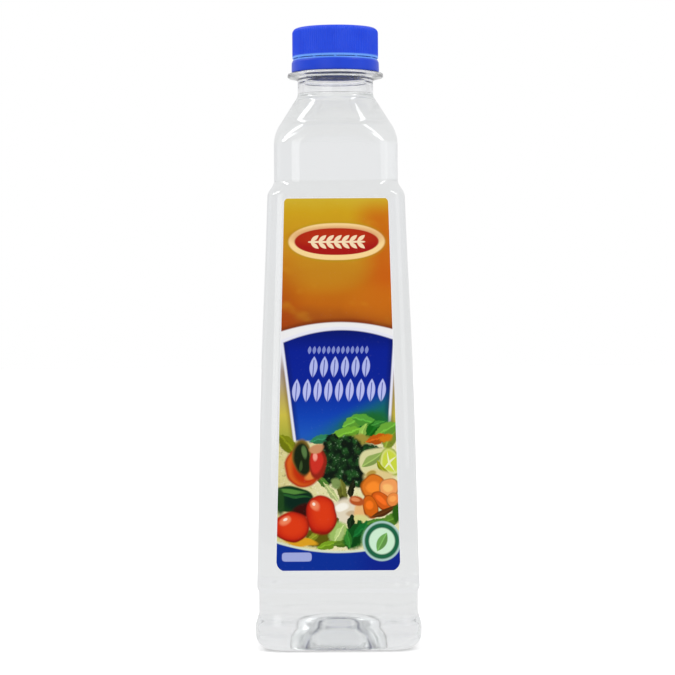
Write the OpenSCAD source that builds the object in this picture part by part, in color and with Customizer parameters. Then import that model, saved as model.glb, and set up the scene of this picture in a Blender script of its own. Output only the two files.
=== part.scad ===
// Square, tapered PET bottle of white vinegar with a screw cap, a tamper band and a front label.
// Millimetres. +Z is up, the label faces -Y, and the origin is the middle of the base, at the
// level that the bottle stands on.

/* [Overall] */
// Height from the surface it stands on to the top of the cap
total_h = 212.1; // [185:0.1:260]
// Width across the flats at the heel, the widest place
body_w = 56.2; // [46:0.1:68]

/* [Base and heel] */
// Radius that rounds the heel into the base
heel_round = 5.6; // [4:0.1:7]
// Height of the top of the upright heel
heel_top = 8.2; // [7.5:0.1:12]
// Width of the flat ring that the bottle stands on
stand_w = 4.5; // [3:0.1:6]
// Height of the push-up in the middle of the base
push_up_h = 10.5; // [5:0.1:12]
// How steeply the push-up falls to its rim: 2 is an even bowl, more is a flatter crown
push_up_power = 3; // [2:0.25:4]
// Corner radius of the base's outline
foot_corner = 6.8; // [5:0.1:9]
// Corner radius of the heel's outline
heel_corner = 9.5; // [7:0.1:11]

/* [Waist groove above the heel] */
// How far the groove is let into the heel
waist_depth = 1.2; // [0.4:0.1:2.5]
// Height of the groove's upright floor
waist_h = 6.8; // [3:0.1:10]
// Height over which the heel runs into the groove
waist_run_in = 4.5; // [2:0.1:7]
// Height over which the groove runs out into the label panel
waist_run_out = 2; // [1:0.1:4]

/* [Label panel] */
// How far the panel's foot stands in from the heel, on each side
panel_inset = 0.6; // [0:0.1:1.1]
// How much each side leans in from the panel's foot to its top
panel_taper = 4.2; // [1:0.1:6]
// How far each side bellies out between them
panel_belly = 0.5; // [0:0.1:1]
// Corner radius at the panel's foot
panel_corner_foot = 6.1; // [5:0.1:8]
// Corner radius at the panel's top
panel_corner_top = 5.4; // [4.5:0.1:7]

/* [Shoulder] */
// Height of the step from the panel to the upper block
step_h = 5.8; // [4:0.1:9]
// How far each side steps in there
step_in = 2.2; // [1:0.1:3]
// Height of the upper block's upright sides
block_h = 12.6; // [8:0.1:18]
// Corner radius of the upper block
block_corner = 9.6; // [8:0.1:11]
// Radius that rounds the block into the cone
shoulder_round = 13.7; // [8:0.1:18]
// Lean of the shoulder's cone from upright, in degrees
cone_lean = 31.8; // [25:0.1:38]
// Half the width of the cone's flats where they fade out at the neck
cone_flat = 2; // [1:0.1:8]

/* [Neck and finish] */
// Diameter over the thread and over the tamper bead, which the closure is named by
thread_d = 27.4; // [22.8:0.1:33]
// How far the thread stands out of the finish
thread_depth = 1.25; // [0.8:0.05:1.4]
// Wall of the finish between its thread and its bore
finish_wall = 1.55; // [1.2:0.05:2.2]
// Wall of the neck below the support ring
neck_wall = 2.1; // [1.2:0.1:2.6]
// Height of the neck between the shoulder and the support ring
neck_h = 6.3; // [4:0.1:10]
// How far the support ring stands out past the thread
ring_reach = 2.8; // [2.2:0.1:4]
// Thickness of the support ring at its rim
ring_t = 1.5; // [1.2:0.1:2.2]
// Height of the finish above the support ring
finish_h = 14.2; // [11.8:0.1:18]
// Pitch of the thread
thread_pitch = 2.7; // [2.3:0.1:3.3]
// From the rim down to the top end of the thread
thread_lead = 1.9; // [1.5:0.1:2.4]

/* [Cap and tamper band] */
// Wall of the cap under its ribs' crests
cap_wall = 0.95; // [0.8:0.05:1.4]
// Thickness of the cap's top
cap_top_t = 1.5; // [1.2:0.1:2]
// Radius of the cap's top edge
cap_edge = 1.6; // [0.8:0.1:2]
// Number of fine ribs round the cap
cap_ribs = 120; // [60:4:144]
// Depth of the ribs
rib_depth = 0.18; // [0.1:0.01:0.25]
// Running gap between the thread's crests and the wall they face
thread_gap = 0.15; // [0.1:0.01:0.25]
// Wall of the tamper band
band_wall = 1.25; // [1.2:0.05:1.8]
// Height of the tamper band
band_h = 4.6; // [4:0.1:5.4]
// Height of the bevel round its top
band_bevel = 1.2; // [0.4:0.1:1.6]
// Gap between the support ring and the band
band_gap = 0.4; // [0.2:0.1:0.6]
// Slit between the band and the cap
slit_h = 0.2; // [0.2:0.1:0.4]
// Number of bridges across the slit
bridges = 12; // [6:1:16]

/* [Walls and contents] */
// Thickness of the blown wall
wall = 0.5; // [0.4:0.05:1]
// Thickness of the base
base_wall = 0.8; // [0.6:0.05:1.5]
// From the rim down to the level of the vinegar
ullage = 21.2; // [17:0.1:40]

/* [Label] */
// Thickness of the label
label_t = 0.15; // [0.1:0.01:0.3]
// From the label's sides to the ends of the flat that it lies on
label_side_gap = 0.2; // [0.1:0.1:1]
// From the label's top edge to the top of the panel
label_top_gap = 0.6; // [0.3:0.1:3]
// From the label's bottom edge to the foot of the panel
label_foot_gap = 5.6; // [2:0.1:9]
// Corner radius at the label's top
label_corner_top = 1.7; // [1:0.1:3]
// Corner radius at the label's bottom
label_corner_foot = 3.4; // [2:0.1:5]

/* [Hidden] */
$fn = 96;

clear_pet = [0.86, 0.92, 0.95, 0.35];
cap_blue = [0.14, 0.28, 0.87];
vinegar_clear = [0.93, 0.95, 0.93, 0.5];
label_gold = [0.86, 0.6, 0.12];

// Steps along each round stretch of the side's outline, and along each corner of a section
steps = 5;
corner_steps = 6;
panel_steps = 9;
dome_steps = 7;
// How far a lofted end runs on inside the round part that it joins
run_on = 0.5;
// Half the smallest flat that a section keeps where it is all but round
least_flat = 0.5;

// Heights, from the top of the cap down
rim_z = total_h - cap_top_t;
ring_top = rim_z - finish_h;
neck_foot = ring_top - ring_t - neck_h;
level_z = rim_z - ullage;

// Radii of the closure, from the thread inwards and outwards
thread_r = thread_d / 2;
finish_r = thread_r - thread_depth;
bore_r = finish_r - finish_wall;
neck_r = bore_r + neck_wall;
ring_r = thread_r + ring_reach;
cap_bore_r = thread_r + thread_gap;
cap_crest_r = finish_r + thread_gap;
cap_r = cap_bore_r + cap_wall;
band_r = cap_bore_r + band_wall;

// Half widths of the body, from the heel up
heel_a = body_w / 2;
foot_a = heel_a - heel_round;
stand_a = foot_a - stand_w;
waist_a = heel_a - waist_depth;
panel_foot_a = heel_a - panel_inset;
panel_top_a = panel_foot_a - panel_taper;
block_a = panel_top_a - step_in;
round_a = block_a - shoulder_round * (1 - cos(cone_lean));

// Heights of the body, from the neck down and from the base up
cone_foot = neck_foot - (round_a - neck_r) / tan(cone_lean);
block_top = cone_foot - shoulder_round * sin(cone_lean);
block_foot = block_top - block_h;
panel_top = block_foot - step_h;
waist_foot = heel_top + waist_run_in;
waist_top = waist_foot + waist_h;
panel_foot = waist_top + waist_run_out;

// Half widths of the flats in the middle of the sides
foot_flat = foot_a - foot_corner;
heel_flat = heel_a - heel_corner;
waist_flat = waist_a - (heel_corner + panel_corner_foot) / 2;
panel_foot_flat = panel_foot_a - panel_corner_foot;
panel_top_flat = panel_top_a - panel_corner_top;
block_flat = block_a - block_corner;
stand_flat = foot_flat * stand_a / foot_a;
cone_foot_flat = cone_flat + 2;

function mix(a, b, t) = a + (b - a) * t;
// Rises from 0 to 1 as t does, level at both ends
function ease(t) = (1 - cos(180 * t)) / 2;

// Side of the panel at a share t of its height: its half width, its height and its half flat
function panel_at(t) = [
    mix(panel_foot_a, panel_top_a, t) + panel_belly * pow(sin(180 * t), 2),
    mix(panel_foot, panel_top, t),
    mix(panel_foot_flat, panel_top_flat, t),
];
// A blend between two stations, without its first one
function blend(from, to, n) = [
    for (i = [1:n]) [
        mix(from[0], to[0], ease(i / n)), mix(from[1], to[1], i / n), mix(from[2], to[2], ease(i / n))
    ]
];

// Outline of the side from the middle of the push-up out and up to the neck, as stations:
// half width, height, half flat
dome = [
    for (i = [1:dome_steps]) let (t = i / dome_steps)
        [stand_a * t, push_up_h * (1 - pow(t, push_up_power)), max(stand_flat * pow(t, 3), least_flat * t)]
];
heel = [
    for (i = [0:steps]) let (turn = 90 * i / steps)
        [foot_a + heel_round * sin(turn), heel_round * (1 - cos(turn)), mix(foot_flat, heel_flat, sin(turn))]
];
waist = concat(
    [[heel_a, heel_top, heel_flat]],
    blend([heel_a, heel_top, heel_flat], [waist_a, waist_foot, waist_flat], 4),
    [[waist_a, waist_top, waist_flat]],
    blend([waist_a, waist_top, waist_flat], [panel_foot_a, panel_foot, panel_foot_flat], 3)
);
panel = [for (i = [1:panel_steps]) panel_at(i / panel_steps)];
block = concat(
    blend([panel_top_a, panel_top, panel_top_flat], [block_a, block_foot, block_flat], steps),
    [[block_a, block_top, block_flat]]
);
shoulder = [
    for (i = [1:steps]) let (turn = cone_lean * i / steps) [
        block_a - shoulder_round * (1 - cos(turn)), block_top + shoulder_round * sin(turn),
        mix(block_flat, cone_foot_flat, i / steps)
    ]
];
cone = [
    for (t = [0.35, 0.7, 1]) [
        mix(round_a, neck_r, t), mix(cone_foot, neck_foot, t), mix(cone_foot_flat, least_flat, t * t)
    ]
];
side = concat(dome, heel, waist, panel, block, shoulder, cone);

// The same outline set in by the wall, which thickens towards the neck until it meets the bore
function wall_at(s) = s[1] < heel_top && s[0] < heel_a
    ? base_wall
    : mix(wall, (neck_r - bore_r) / cos(cone_lean), ease(max(0, (s[1] - block_top) / (neck_foot - block_top))));
function heading(i) =
    let (a = side[max(i - 1, 0)], b = side[min(i + 1, len(side) - 1)])
    i == 0 ? [1, 0] : i == len(side) - 1 ? [-sin(cone_lean), cos(cone_lean)]
    : [b[0] - a[0], b[1] - a[1]] / norm([b[0] - a[0], b[1] - a[1]]);
inside = [
    for (i = [0:len(side) - 1]) let (s = side[i], t = wall_at(s), h = heading(i))
        [s[0] - t * h[1], s[1] + t * h[0], min(s[2], s[0] - t * h[1] - least_flat)]
];
// One more station past the neck's foot, inside the round part
function run_in(outline) = let (s = outline[len(outline) - 1]) concat(
    outline, [[s[0] - run_on, s[1] + run_on / tan(cone_lean), least_flat]]
);

// Square section with rounded corners, anticlockwise from above
function section(s) = [
    for (k = [0:3], j = [0:corner_steps])
        let (turn = 90 * (k - 1) + 90 * j / corner_steps, r = s[0] - s[2])
        [
            s[2] * (k == 0 || k == 1 ? 1 : -1) + r * cos(turn),
            s[2] * (k == 1 || k == 2 ? 1 : -1) + r * sin(turn),
            s[1]
        ]
];

// Closed solid through a list of rings that have the same number of points
module loft(rings) {
    n = len(rings[0]);
    last = len(rings) - 1;
    polyhedron(
        points = [for (ring = rings, p = ring) p],
        faces = concat(
            [[for (j = [0:n - 1]) j]],
            [
                for (i = [0:last - 1], j = [0:n - 1]) let (k = (j + 1) % n)
                    [i * n + j, (i + 1) * n + j, (i + 1) * n + k, i * n + k]
            ],
            [[for (j = [n - 1:-1:0]) last * n + j]]
        ),
        convexity = 6
    );
}

// Helical rib of four-sided section, from the radii and widths of its inner and outer faces. Its
// free face fades away at both ends.
module helix_rib(inner_r, outer_r, inner_w, outer_w, z0, free_inner) {
    per_turn = 24;
    n = round(per_turn * thread_turns);
    fade_steps = 4;
    depth = outer_r - inner_r;
    loft([
        for (i = [0:n])
            let (
                turn = 360 * i / per_turn,
                z = z0 + thread_pitch * i / per_turn,
                grow = min(1, i / fade_steps, (n - i) / fade_steps),
                r0 = free_inner ? outer_r - depth * mix(0.15, 1, grow) : inner_r,
                r1 = free_inner ? outer_r : inner_r + depth * mix(0.15, 1, grow)
            )
            [
                for (p = [[r0, -inner_w], [r0, inner_w], [r1, outer_w], [r1, -outer_w]])
                    [p[0] * cos(turn), p[0] * sin(turn), z + p[1] / 2]
            ]
    ]);
}

// Heights of the band, the cap and the thread, whose turns fill the cap down to its foot
bead_z = ring_top + 2.6;
bead_t = 1.1;
band_foot = ring_top + band_gap;
cap_foot = band_foot + band_h + slit_h;
rib_root = 1.3;
rib_crest = 0.6;
rib_seat = 0.5;
thread_foot = cap_foot + 0.3 + rib_root / 2 + thread_pitch / 2;
thread_turns = (rim_z - thread_lead - thread_foot) / thread_pitch;

// Neck, support ring and finish, turned about the axis
module neck_solid() {
    ring_foot = ring_top - ring_t;
    rotate_extrude()
        polygon([
            [0, neck_foot - run_on * 3], [neck_r, neck_foot - run_on * 3],
            [neck_r, ring_foot - 0.8], [ring_r - 0.5, ring_foot],
            [ring_r, ring_foot + 0.5], [ring_r, ring_top - 0.3],
            [ring_r - 0.3, ring_top], [finish_r, ring_top],
            [finish_r, bead_z - bead_t / 2], [thread_r, bead_z],
            [finish_r, bead_z + bead_t], [finish_r, rim_z - 0.4],
            [finish_r - 0.4, rim_z], [0, rim_z]
        ]);
}

// Room inside the neck and finish
module bore_solid() {
    foot = inside[len(inside) - 1][1] - run_on * 2;
    translate([0, 0, foot])
        cylinder(r = bore_r, h = rim_z + 1 - foot);
}

module bottle() {
    color(clear_pet)
        difference() {
            union() {
                loft([for (s = run_in(side)) section(s)]);
                neck_solid();
                helix_rib(finish_r - rib_seat, thread_r, rib_root, rib_crest, thread_foot, false);
            }
            loft([for (s = run_in(inside)) section(s)]);
            bore_solid();
        }
}

module vinegar() {
    color(vinegar_clear)
        difference() {
            union() {
                loft([for (s = run_in(inside)) section(s)]);
                bore_solid();
            }
            translate([-heel_a, -heel_a, level_z])
                cube([2 * heel_a, 2 * heel_a, total_h]);
        }
}

// A turned core with a rounded top edge, in a ribbed skirt that stands just proud of it
module cap() {
    root_r = cap_r - rib_depth;
    core_r = root_r - 0.06;
    skirt_foot = cap_foot + 0.5;
    color(cap_blue) {
        difference() {
            union() {
                rotate_extrude()
                    polygon(concat(
                        [[0, cap_foot], [core_r, cap_foot]],
                        [
                            for (i = [0:8]) let (turn = 90 * i / 8)
                                [core_r - cap_edge * (1 - cos(turn)), total_h - cap_edge * (1 - sin(turn))]
                        ],
                        [[0, total_h]]
                    ));
                translate([0, 0, skirt_foot])
                    linear_extrude(total_h - cap_edge - skirt_foot)
                        polygon([
                            for (i = [0:2 * cap_ribs - 1])
                                let (turn = 180 * i / cap_ribs, r = i % 2 == 0 ? cap_r : root_r)
                                    [r * cos(turn), r * sin(turn)]
                        ]);
            }
            translate([0, 0, cap_foot - 1])
                cylinder(r = cap_bore_r, h = rim_z - cap_foot + 1);
        }
        helix_rib(
            cap_crest_r, cap_bore_r + rib_seat, rib_crest, rib_root, thread_foot - thread_pitch / 2,
            true
        );
    }
}

// Ring with a bevelled top edge and a lip below the bead, joined to the cap by short bridges
module tamper_band() {
    lip_r = finish_r + 0.35;
    bridge_w = 0.7;
    bridge_t = 0.6;
    color(cap_blue) {
        rotate_extrude()
            polygon([
                [cap_bore_r, band_foot], [band_r - 0.2, band_foot], [band_r, band_foot + 0.3],
                [band_r - 0.1, band_foot + band_h - band_bevel], [cap_r - 0.35, band_foot + band_h],
                [cap_bore_r, band_foot + band_h], [cap_bore_r, band_foot + 1.5],
                [lip_r, band_foot + 1.4], [lip_r, band_foot + 0.9]
            ]);
        for (i = [0:bridges - 1])
            rotate([0, 0, 360 * i / bridges])
                translate([cap_bore_r + 0.03, -bridge_w / 2, band_foot + band_h - 0.2])
                    cube([bridge_t, bridge_w, slit_h + 0.2]);
    }
}

// Rows of the label, from its bottom edge up: height and half width
label_foot = panel_foot + label_foot_gap;
label_top = panel_top - label_top_gap;
function label_half(z) = mix(
    panel_foot_flat - label_side_gap, panel_top_flat - label_side_gap,
    (z - panel_foot) / (panel_top - panel_foot)
);
label_rows = concat(
    [
        for (i = [0:4]) let (turn = 90 * i / 4, z = label_foot + label_corner_foot * (1 - cos(turn)))
            [z, label_half(z) - label_corner_foot * (1 - sin(turn))]
    ],
    [
        for (s = panel)
            if (s[1] > label_foot + label_corner_foot && s[1] < label_top - label_corner_top)
                [s[1], label_half(s[1])]
    ],
    [
        for (i = [0:4]) let (turn = 90 * i / 4, z = label_top - label_corner_top * (1 - sin(turn)))
            [z, label_half(z) - label_corner_top * (1 - cos(turn))]
    ]
);
// Half width of the panel at a height, along the straight stretches between its stations
panel_line = [for (s = concat([panel_at(0)], panel)) [s[1], s[0]]];

module label() {
    color(label_gold)
        loft([
            for (row = label_rows) let (z = row[0], w = row[1], a = lookup(z, panel_line))
                [[-w, -a - label_t, z], [w, -a - label_t, z], [w, -a, z], [-w, -a, z]]
        ]);
}

bottle();
cap();
tamper_band();
vinegar();
label();
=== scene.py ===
"""Square, tapered PET bottle of white vinegar: screw cap, tamper band, vinegar and front label.

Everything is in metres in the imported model's frame: +Z is up, the label faces -Y.
"""

import math

import bpy
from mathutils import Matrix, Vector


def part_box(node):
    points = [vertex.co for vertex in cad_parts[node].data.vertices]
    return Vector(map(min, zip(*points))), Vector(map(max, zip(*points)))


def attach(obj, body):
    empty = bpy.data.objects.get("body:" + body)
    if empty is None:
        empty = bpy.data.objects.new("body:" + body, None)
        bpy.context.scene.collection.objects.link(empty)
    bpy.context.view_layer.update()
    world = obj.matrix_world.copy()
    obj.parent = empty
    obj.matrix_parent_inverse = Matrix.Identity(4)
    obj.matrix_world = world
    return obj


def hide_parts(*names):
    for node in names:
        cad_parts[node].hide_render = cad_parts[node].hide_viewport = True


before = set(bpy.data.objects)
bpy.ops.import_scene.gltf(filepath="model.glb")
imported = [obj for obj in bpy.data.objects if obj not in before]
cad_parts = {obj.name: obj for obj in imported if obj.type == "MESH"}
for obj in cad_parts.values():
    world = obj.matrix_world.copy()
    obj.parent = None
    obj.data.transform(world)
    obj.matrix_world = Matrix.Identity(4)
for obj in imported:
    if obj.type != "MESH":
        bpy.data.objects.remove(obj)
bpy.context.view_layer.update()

MM = 0.001

# Levels and widths that the frame gives. Each box is its lowest and its highest corner.
BOTTLE_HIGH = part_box("bottle")[1]
CAP_LOW, CAP_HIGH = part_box("cap")
BAND_LOW, BAND_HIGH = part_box("tamper_band")
LEVEL_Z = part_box("vinegar")[1].z
LABEL_LOW, LABEL_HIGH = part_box("label")

HEEL_A = BOTTLE_HIGH.x
RIM_Z = BOTTLE_HIGH.z

# Upright measures of the closure, from the rim down
RING_TOP = RIM_Z - 14.2 * MM
RING_FOOT = RING_TOP - 1.5 * MM
NECK_FOOT = RING_TOP - 7.8 * MM
NECK_FILLET = 1.3 * MM
BEAD_Z = RING_TOP + 2.6 * MM
THREAD_PITCH = 2.7 * MM
THREAD_ROOT_W = 1.3 * MM
THREAD_CREST_W = 0.6 * MM
THREAD_FOOT = CAP_LOW.z + 2.3 * MM
THREAD_TURNS = (RIM_Z - 1.9 * MM - THREAD_FOOT) / THREAD_PITCH
THREAD_FADE = 0.12

# Radii of the closure
BORE_R = 10.9 * MM
FINISH_R = 12.45 * MM
NECK_R = 13 * MM
THREAD_R = 13.7 * MM
RING_R = 16.5 * MM
CAP_BORE_R = 13.85 * MM
CAP_R = CAP_HIGH.x
BAND_R = BAND_HIGH.x

# Half widths of the body and the half flats in the middle of its sides
FOOT_A, FOOT_F = HEEL_A - 5.6 * MM, 15.7 * MM
STAND_A, STAND_F = FOOT_A - 4.5 * MM, 12.56 * MM
HEEL_F = 18.6 * MM
WAIST_A, WAIST_F = HEEL_A - 1.2 * MM, 19.1 * MM
PANEL_FOOT_A, PANEL_FOOT_F = HEEL_A - 0.6 * MM, 21.4 * MM
PANEL_TOP_A, PANEL_TOP_F = HEEL_A - 4.8 * MM, 17.9 * MM
PANEL_BELLY = 0.5 * MM
BLOCK_A, BLOCK_F = PANEL_TOP_A - 2.2 * MM, 11.5 * MM
SHOULDER_R = 13.7 * MM
CONE_LEAN = math.radians(31.8)
CONE_FOOT_F = 4 * MM

# Heights of the body
PUSH_UP_H = 10.5 * MM
PUSH_UP_POWER = 3
HEEL_ROUND = 5.6 * MM
HEEL_TOP = 8.2 * MM
WAIST_FOOT = 12.7 * MM
WAIST_TOP = 19.5 * MM
PANEL_FOOT = 21.5 * MM
ROUND_A = BLOCK_A - SHOULDER_R * (1 - math.cos(CONE_LEAN))
CONE_FOOT = NECK_FOOT - (ROUND_A - NECK_R) / math.tan(CONE_LEAN)
BLOCK_TOP = CONE_FOOT - SHOULDER_R * math.sin(CONE_LEAN)
BLOCK_FOOT = BLOCK_TOP - 12.6 * MM
PANEL_TOP = BLOCK_FOOT - 5.8 * MM

# Walls, how far the vinegar reaches into them, and the least measures used
WALL = 0.5 * MM
BASE_WALL = 0.8 * MM
NECK_WALL = (NECK_R - BORE_R) / math.cos(CONE_LEAN)
LEAST_FLAT = 0.3 * MM
INTO_WALL = 0.12 * MM
HAIR = 0.02 * MM


# -------- numbers and outlines

def mix(a, b, t):
    return a + (b - a) * t


def ease(t):
    t = min(1, max(0, t))
    return (1 - math.cos(math.pi * t)) / 2


def share(value, low, high):
    return min(1, max(0, (value - low) / (high - low)))


def mid(a, b, t):
    return tuple(mix(p, q, t) for p, q in zip(a, b))


def curve(a, corner, b, t):
    """A place on the curve from a to b that leaves and arrives along the lines to the corner."""
    return tuple((1 - t) ** 2 * p + 2 * t * (1 - t) * c + t * t * q for p, c, q in zip(a, corner, b))


# Directions of a ring's points. They are close together where the corners turn.
OCTANT = [0, 6, 12, 18] + [24 + 1.5 * i for i in range(15)]
QUADRANT = OCTANT + [90 - a for a in reversed(OCTANT[1:-1])]
RING_ANGLES = [math.radians(a + 90 * k) for k in range(4) for a in QUADRANT]


def reach(angle, half, flat):
    """Distance from the axis to a rounded square's outline in one direction."""
    c = abs(math.cos(angle))
    s = abs(math.sin(angle))
    high = max(c, s)
    low = min(c, s)
    if half * low <= flat * high:
        return half / high
    corner = half - flat
    return flat * (c + s) + math.sqrt(max(0, corner * corner - (flat * (c - s)) ** 2))


def blend(start, end, count):
    """Stations that swing from one to the next, without the first."""
    found = []
    for i in range(1, count + 1):
        t = i / count
        half = mix(start[0], end[0], ease(t))
        flat = mix(start[2], end[2], ease(t))
        found.append((half, mix(start[1], end[1], t), flat))
    return found


def straight(start, end, count):
    """Stations on a line from one to the next, without the first."""
    return [mid(start, end, i / count) for i in range(1, count + 1)]


def panel_half(z):
    """Half width of the label panel at a height."""
    t = share(z, PANEL_FOOT, PANEL_TOP)
    return mix(PANEL_FOOT_A, PANEL_TOP_A, t) + PANEL_BELLY * math.sin(math.pi * t) ** 2


def base_stations(push_up_steps=14, heel_steps=12):
    """From the middle of the push-up, over the ring that the bottle stands on, and up the heel."""
    found = []
    for i in range(1, push_up_steps + 1):
        t = i / push_up_steps
        flat = max(STAND_F * t ** 3, LEAST_FLAT * t)
        found.append((STAND_A * t, PUSH_UP_H * (1 - t ** PUSH_UP_POWER), flat))
    for i in range(heel_steps + 1):
        turn = math.pi / 2 * i / heel_steps
        half = FOOT_A + HEEL_ROUND * math.sin(turn)
        found.append((half, HEEL_ROUND * (1 - math.cos(turn)), mix(FOOT_F, HEEL_F, math.sin(turn))))
    return found


def panel_stations(steps=40):
    found = []
    for i in range(1, steps + 1):
        t = i / steps
        z = mix(PANEL_FOOT, PANEL_TOP, t)
        found.append((panel_half(z), z, mix(PANEL_FOOT_F, PANEL_TOP_F, t)))
    return found


def cone_stations(steps=12):
    """Round the shoulder and up the cone, which stops short of the neck."""
    found = []
    for i in range(1, steps + 1):
        turn = CONE_LEAN * i / steps
        half = BLOCK_A - SHOULDER_R * (1 - math.cos(turn))
        flat = mix(BLOCK_F, CONE_FOOT_F, i / steps)
        found.append((half, BLOCK_TOP + SHOULDER_R * math.sin(turn), flat))
    length = (NECK_FOOT - CONE_FOOT) / math.cos(CONE_LEAN)
    for i in range(1, steps + 1):
        t = i / steps * (1 - NECK_FILLET / length)
        flat = mix(CONE_FOOT_F, LEAST_FLAT, t * t)
        found.append((mix(ROUND_A, NECK_R, t), mix(CONE_FOOT, NECK_FOOT, t), flat))
    return found


def body_outline():
    """Stations from the middle of the push-up out, up the side and to the neck's fillet."""
    heel = (HEEL_A, HEEL_TOP, HEEL_F)
    waist_foot = (WAIST_A, WAIST_FOOT, WAIST_F)
    waist_top = (WAIST_A, WAIST_TOP, WAIST_F)
    panel_foot = (PANEL_FOOT_A, PANEL_FOOT, PANEL_FOOT_F)
    panel_top = (PANEL_TOP_A, PANEL_TOP, PANEL_TOP_F)
    block_foot = (BLOCK_A, BLOCK_FOOT, BLOCK_F)
    block_top = (BLOCK_A, BLOCK_TOP, BLOCK_F)
    side = base_stations() + [heel]
    side += blend(heel, waist_foot, 10)
    side += straight(waist_foot, waist_top, 4)
    side += blend(waist_top, panel_foot, 8)
    side += panel_stations()
    side += blend(panel_top, block_foot, 14)
    side += straight(block_foot, block_top, 6)
    return side + cone_stations()


def neck_fillet(steps=6):
    """Stations of the curve from the cone into the upright neck."""
    across = NECK_FILLET * math.sin(CONE_LEAN)
    down = NECK_FILLET * math.cos(CONE_LEAN)
    start = (NECK_R + across, NECK_FOOT - down)
    corner = (NECK_R, NECK_FOOT)
    end = (NECK_R, NECK_FOOT + NECK_FILLET)
    found = []
    for i in range(1, steps + 1):
        t = i / steps
        found.append((*curve(start, corner, end, t), mix(LEAST_FLAT, 0, t)))
    return found


def heading(side, i):
    """Direction of the outline at one station, in half width and height."""
    a = side[max(i - 1, 0)]
    b = side[min(i + 1, len(side) - 1)]
    length = math.hypot(b[0] - a[0], b[1] - a[1])
    return (b[0] - a[0]) / length, (b[1] - a[1]) / length


def set_in(side, wall_of):
    """The outline moved inwards by a wall that may change from station to station."""
    found = []
    for i, station in enumerate(side):
        across, up = heading(side, i)
        wall = wall_of(station)
        half = max(HAIR, station[0] - wall * up)
        flat = max(0, min(station[2], half - LEAST_FLAT))
        found.append((half, station[1] + wall * across, flat))
    return found


# -------- meshes

def ring_points(station, bulge=None):
    half, z, flat = station
    points = []
    for angle in RING_ANGLES:
        r = reach(angle, half, flat)
        if bulge:
            r = r + bulge(angle, z)
        points.append((r * math.cos(angle), r * math.sin(angle), z))
    return points


def skin(rings, start, end):
    """Points and faces of a closed skin through rings of points, with a middle point at each end."""
    count = len(rings[0])
    points = [start] + [p for ring in rings for p in ring] + [end]
    faces = []
    for j in range(count):
        k = (j + 1) % count
        faces.append((0, 1 + k, 1 + j))
    for i in range(len(rings) - 1):
        low = 1 + i * count
        high = low + count
        for j in range(count):
            k = (j + 1) % count
            faces.append((low + j, low + k, high + k, high + j))
    last = 1 + (len(rings) - 1) * count
    for j in range(count):
        k = (j + 1) % count
        faces.append((last + j, last + k, len(points) - 1))
    return points, faces


def revolve(profile, count, bulge=None):
    """Points and faces of a closed ring turned from a profile that runs anticlockwise."""
    points = []
    for r, z in profile:
        for j in range(count):
            angle = 2 * math.pi * j / count
            reached = r + (bulge(angle, r, z) if bulge else 0)
            points.append((reached * math.cos(angle), reached * math.sin(angle), z))
    faces = []
    for i in range(len(profile)):
        a = i * count
        b = (i + 1) % len(profile) * count
        for j in range(count):
            k = (j + 1) % count
            faces.append((a + j, a + k, b + k, b + j))
    return points, faces


def new_piece(name, points, faces, node, materials, sharp):
    """A piece that stands for one CAD node, with smooth faces and sharp edges."""
    mesh = bpy.data.meshes.new(name)
    mesh.from_pydata(points, [], faces)
    mesh.validate()
    mesh.shade_smooth()
    mesh.set_sharp_from_angle(angle=math.radians(sharp))
    for material in materials:
        mesh.materials.append(material)
    piece = bpy.data.objects.new(name, mesh)
    bpy.context.scene.collection.objects.link(piece)
    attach(piece, "root")
    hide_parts(node)
    return piece


def rounded(points, radius, steps=4):
    """A profile with rounded corners. A point is (r, z), or (r, z, its own radius)."""
    found = []
    count = len(points)
    for i, point in enumerate(points):
        before = points[i - 1]
        after = points[(i + 1) % count]
        size = point[2] if len(point) > 2 else radius
        back = (before[0] - point[0], before[1] - point[1])
        on = (after[0] - point[0], after[1] - point[1])
        back_len = math.hypot(*back)
        on_len = math.hypot(*on)
        cut = min(size, 0.49 * back_len, 0.49 * on_len)
        if cut < 0.002 * MM:
            found.append((point[0], point[1]))
            continue
        a = (point[0] + back[0] / back_len * cut, point[1] + back[1] / back_len * cut)
        b = (point[0] + on[0] / on_len * cut, point[1] + on[1] / on_len * cut)
        found += [curve(a, point[:2], b, k / steps) for k in range(steps + 1)]
    return found


# -------- bottle

def thread_height(angle, z, depth, foot):
    """How far a helical thread stands out at one place of the wall that carries it."""
    share_of_turn = (angle % (2 * math.pi)) / (2 * math.pi)
    found = 0
    for lap in range(int(THREAD_TURNS) + 2):
        along = lap + share_of_turn
        if along > THREAD_TURNS:
            continue
        fade = ease(min(along, THREAD_TURNS - along) / THREAD_FADE)
        away = abs(z - (foot + THREAD_PITCH * along))
        found = max(found, depth * fade * share(away, THREAD_ROOT_W / 2, THREAD_CREST_W / 2))
    return found


def bottle_thread(angle, z):
    if z < THREAD_FOOT - MM:
        return 0
    return thread_height(angle, z, THREAD_R - FINISH_R, THREAD_FOOT)


def wall_at(station):
    """The blown wall, which is thicker in the base and up the cone."""
    half, z = station[:2]
    if z < HEEL_TOP and half < HEEL_A - 0.001 * MM:
        return mix(WALL, BASE_WALL, ease(share(half, HEEL_A, HEEL_A - 4 * MM)))
    return mix(WALL, NECK_WALL, ease(share(z, BLOCK_TOP, NECK_FOOT)))


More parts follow.
